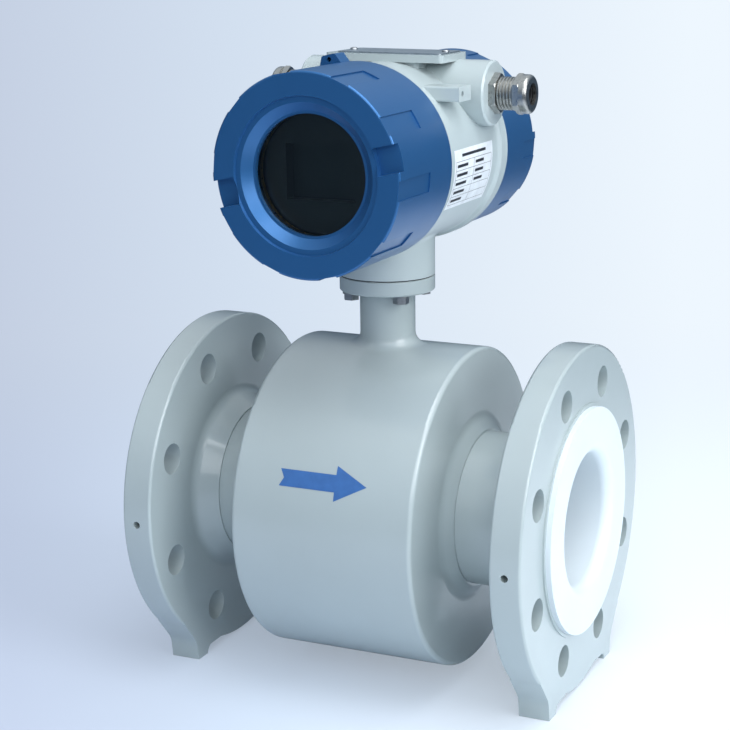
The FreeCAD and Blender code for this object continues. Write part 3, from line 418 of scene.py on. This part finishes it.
# ---------------------------------------------------------------- window
# Toughened glass with a faint green cast, laid in the front cover from
# behind and held there by a screwed brass ring.
window, tree, shader, place = new_finish("window_glass")
shader.inputs["Base Color"].default_value = (0.75, 0.86, 0.84, 1.0)
shader.inputs["Transmission Weight"].default_value = 1.0
shader.inputs["Roughness"].default_value = 0.02
shader.inputs["IOR"].default_value = 1.5
dress(window, "window_glass")
brass = metal("brass", rgb(190, 150, 84), 0.3)
dress(brass, "window_retainer")

# ------------------------------------------------- display and electronics
# A black moulded bezel frames a dark liquid crystal panel; two green boards
# stand on brass studs behind it, and the rear chamber holds the power module
# and the terminals with their stainless screws.
black = plain("black_plastic", rgb(6, 7, 8), 0.5)
dress(black, "display_bezel", "power_module")
dress(plain("lcd_dark", rgb(14, 17, 17), 0.35), "lcd_panel")
dress(plain("circuit_board", rgb(18, 74, 44), 0.4), "display_board", "main_board")
dress(brass, "display_studs", "board_studs")
dress(plain("terminal_green", rgb(24, 96, 62), 0.5), "terminal_block")
dress(stainless, "terminal_screws")

# ----------------------------------------------------------- cable glands
# Nickelled brass bodies and dome nuts, turned from hexagon bar, each with a
# black rubber insert that the nut squeezes on the cable.
nickel = metal("nickel_plate", rgb(176, 176, 172), 0.30)
dress(nickel, "gland_body_right", "gland_body_left", "gland_nut_right", "gland_nut_left")
dress(rubber, "gland_seal_right", "gland_seal_left")


# ----------------------------------------------------------- side label
# A self-adhesive data sheet on the outlet side of the head: a heading line,
# a ruled table and blank blocks where its entries would be, all bent round
# the casting.
def new_tree(name, sockets):
    """A geometry tree with named inputs; returns it and what it is given."""
    made = bpy.data.node_groups.new(name, "GeometryNodeTree")
    for label, kind in sockets:
        made.interface.new_socket(label, in_out="INPUT", socket_type="NodeSocket" + kind)
    made.interface.new_socket("Geometry", in_out="OUTPUT", socket_type="NodeSocketGeometry")
    return made, made.nodes.new("NodeGroupInput").outputs


def end_tree(tree, geometry, material):
    """Ends a tree in one material and its output."""
    painted = add_node(tree, "GeometryNodeSetMaterial", {"Geometry": geometry, "Material": material})
    tree.links.new(painted.outputs["Geometry"], tree.nodes.new("NodeGroupOutput").inputs["Geometry"])


def rows_of(tree, shape, number, first, spacing):
    """Copies of a shape along a line, made real."""
    row = add_node(tree, "GeometryNodeMeshLine", {"Count": number, "Start Location": first, "Offset": spacing})
    laid = add_node(tree, "GeometryNodeInstanceOnPoints", {"Points": row.outputs["Mesh"], "Instance": shape})
    real = add_node(tree, "GeometryNodeRealizeInstances", {"Geometry": laid.outputs["Instances"]})
    return real.outputs["Geometry"]


def from_tree(name, group, values, body="meter", start=None):
    """Runs a geometry tree with its named values and keeps the plain mesh."""
    host = bpy.data.objects.new(name + "_host", start or bpy.data.meshes.new(name + "_start"))
    scene.collection.objects.link(host)
    step = host.modifiers.new("make", "NODES")
    step.node_group = group
    for socket in group.interface.items_tree:
        if socket.item_type == "SOCKET" and socket.in_out == "INPUT" and socket.name in values:
            step[socket.identifier] = values[socket.name]
    bpy.context.view_layer.update()
    solved = host.evaluated_get(bpy.context.evaluated_depsgraph_get())
    mesh = bpy.data.meshes.new_from_object(solved)
    mesh.name = name
    bpy.data.objects.remove(host)
    piece = bpy.data.objects.new(name, mesh)
    scene.collection.objects.link(piece)
    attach(piece, body)
    return piece


printed_marks, given = new_tree("printed_marks", (
    ("Number", "Int"), ("First mark", "Vector"), ("Spacing", "Vector"), ("Length", "Float"), ("Height", "Float"),
    ("Radius", "Float"), ("Axis", "Vector"), ("Ink", "Material")))
mark = add_node(printed_marks, "GeometryNodeMeshGrid", {
    "Size X": given["Length"], "Size Y": given["Height"], "Vertices X": 2, "Vertices Y": 24})
marks = rows_of(printed_marks, mark.outputs["Mesh"], given["Number"], given["First mark"], given["Spacing"])
flat = add_node(printed_marks, "ShaderNodeSeparateXYZ",
                {0: printed_marks.nodes.new("GeometryNodeInputPosition").outputs[0]})
angle = maths(printed_marks, "DIVIDE", flat.outputs["Y"], given["Radius"])
bent = add_node(printed_marks, "ShaderNodeCombineXYZ", {
    "X": maths(printed_marks, "MULTIPLY", maths(printed_marks, "COSINE", angle), given["Radius"]),
    "Y": flat.outputs["X"],
    "Z": maths(printed_marks, "MULTIPLY", maths(printed_marks, "SINE", angle), given["Radius"])})
moved = add_node(printed_marks, "ShaderNodeVectorMath", {0: bent.outputs[0], 1: given["Axis"]}, operation="ADD")
wrap = add_node(printed_marks, "GeometryNodeSetPosition", {"Geometry": marks, "Position": moved.outputs["Vector"]})
end_tree(printed_marks, wrap.outputs["Geometry"], given["Ink"])

label_white = plain("label_film", rgb(222, 228, 232), 0.4)
label_ink = plain("label_ink", rgb(38, 42, 50), 0.5)
label_r = 0.0525
label_axis = (0.0, 0.0, head_axis_z)
film_up, ink_up = 0.00010, 0.00016           # above the casting
label_front, label_rear = -0.024, 0.031      # along the head
label_top, label_bottom = 0.0070, -0.0272    # along the arc, from level
label_long = label_rear - label_front
label_tall = label_top - label_bottom
label_mid = (label_front + label_rear) / 2
label_margin = 0.0022
heading_drop = 0.0035
heading_share = 0.62                         # of the sheet's length
heading_tall = 0.0016
table_top = label_top - 0.0066
row_tall = 0.0050
rows = 5
rule_wide = 0.00022
block_tall = 0.0017
front_block_in, front_block_long = 0.0092, 0.0150
rear_block_in, rear_block_long, rear_blocks = 0.0082, 0.0120, 3
first_row = table_top - row_tall / 2
for name, number, first, spacing, length, tall, lift, ink in (
        ("side_label", 1, (label_mid, (label_top + label_bottom) / 2), (0.0, 0.0),
         label_long, label_tall, film_up, label_white),
        ("label_heading", 1, (label_mid, label_top - heading_drop), (0.0, 0.0),
         label_long * heading_share, heading_tall, ink_up, label_ink),
        ("label_rules", rows + 1, (label_mid, table_top), (0.0, -row_tall),
         label_long - 2 * label_margin, rule_wide, ink_up, label_ink),
        ("label_columns", 3, (label_front + label_margin, table_top - rows * row_tall / 2),
         (label_long / 2 - label_margin, 0.0), rule_wide, rows * row_tall, ink_up, label_ink),
        ("label_blocks_front", rows, (label_front + label_margin + front_block_in, first_row), (0.0, -row_tall),
         front_block_long, block_tall, ink_up, label_ink),
        ("label_blocks_rear", rear_blocks, (label_mid + rear_block_in, first_row), (0.0, -row_tall),
         rear_block_long, block_tall, ink_up, label_ink)):
    from_tree(name, printed_marks, {
        "Number": number, "First mark": (*first, 0.0), "Spacing": (*spacing, 0.0),
        "Length": length, "Height": tall, "Radius": label_r + lift, "Axis": label_axis, "Ink": ink})

# ------------------------------------------------ name plate and screws
# A blank aluminium name plate is held on its ledge by two stainless pan-head
# screws; each head is domed, with a pressed cross recess.
dress(metal("plate_aluminium", rgb(176, 186, 192), 0.4), "top_plate")
dress(stainless, "plate_screws")
plate_low, plate_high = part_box("plate_screws")
pan_r = (plate_high.y - plate_low.y) / 2
pan_tall = plate_high.z - plate_low.z
pan_sides = 40
rim_share = 0.35                             # of the height, before the crown starts
crown_flat = 0.30                            # of the radius, left flat on top
crown_steps = 7
profile = [(pan_r, 0.0), (pan_r, pan_tall * rim_share)]
for k in range(1, crown_steps):
    bend = math.radians(90 * k / crown_steps)
    profile.append((pan_r * (crown_flat + (1 - crown_flat) * math.cos(bend)),
                    pan_tall * (rim_share + (1 - rim_share) * math.sin(bend))))
blank = bmesh.new()
rings = [[blank.verts.new((radius * math.cos(2 * math.pi * k / pan_sides),
                           radius * math.sin(2 * math.pi * k / pan_sides), rise)) for k in range(pan_sides)]
         for radius, rise in profile]
for lower, upper in zip(rings, rings[1:]):
    for k in range(pan_sides):
        after = (k + 1) % pan_sides
        blank.faces.new((lower[k], lower[after], upper[after], upper[k]))
blank.faces.new(rings[-1])
blank.faces.new(list(reversed(rings[0])))
pan_blank = bpy.data.meshes.new("pan_head_blank")
blank.to_mesh(pan_blank)
blank.free()

cross_screws, given = new_tree("cross_screws", (
    ("Geometry", "Geometry"), ("First", "Vector"), ("Spacing", "Vector"), ("Number", "Int"), ("Slot long", "Float"),
    ("Slot wide", "Float"), ("Slot place", "Vector"), ("Slot deep", "Float"), ("Metal", "Material")))
pan_head = given["Geometry"]
for first, second in (("Slot long", "Slot wide"), ("Slot wide", "Slot long")):
    size = add_node(cross_screws, "ShaderNodeCombineXYZ", {"X": given[first], "Y": given[second],
                                                           "Z": given["Slot deep"]})
    bar = add_node(cross_screws, "GeometryNodeMeshCube", {"Size": size.outputs[0]})
    placed = add_node(cross_screws, "GeometryNodeTransform", {"Geometry": bar.outputs["Mesh"],
                                                              "Translation": given["Slot place"]})
    cut = add_node(cross_screws, "GeometryNodeMeshBoolean", {
        "Mesh 1": pan_head, "Mesh 2": placed.outputs["Geometry"]}, operation="DIFFERENCE")
    pan_head = cut.outputs["Mesh"]
heads = rows_of(cross_screws, pan_head, given["Number"], given["First"], given["Spacing"])
end_tree(cross_screws, heads, given["Metal"])
plate_screw_heads = from_tree("plate_screw_heads", cross_screws, {
    "First": (plate_low.x + pan_r, (plate_low.y + plate_high.y) / 2, plate_low.z),
    "Spacing": (plate_high.x - plate_low.x - 2 * pan_r, 0.0, 0.0), "Number": 2,
    "Slot long": pan_r * 1.15, "Slot wide": pan_r * 0.26, "Slot place": (0.0, 0.0, pan_tall),
    "Slot deep": pan_tall * 1.1, "Metal": stainless}, start=pan_blank)
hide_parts("plate_screws")
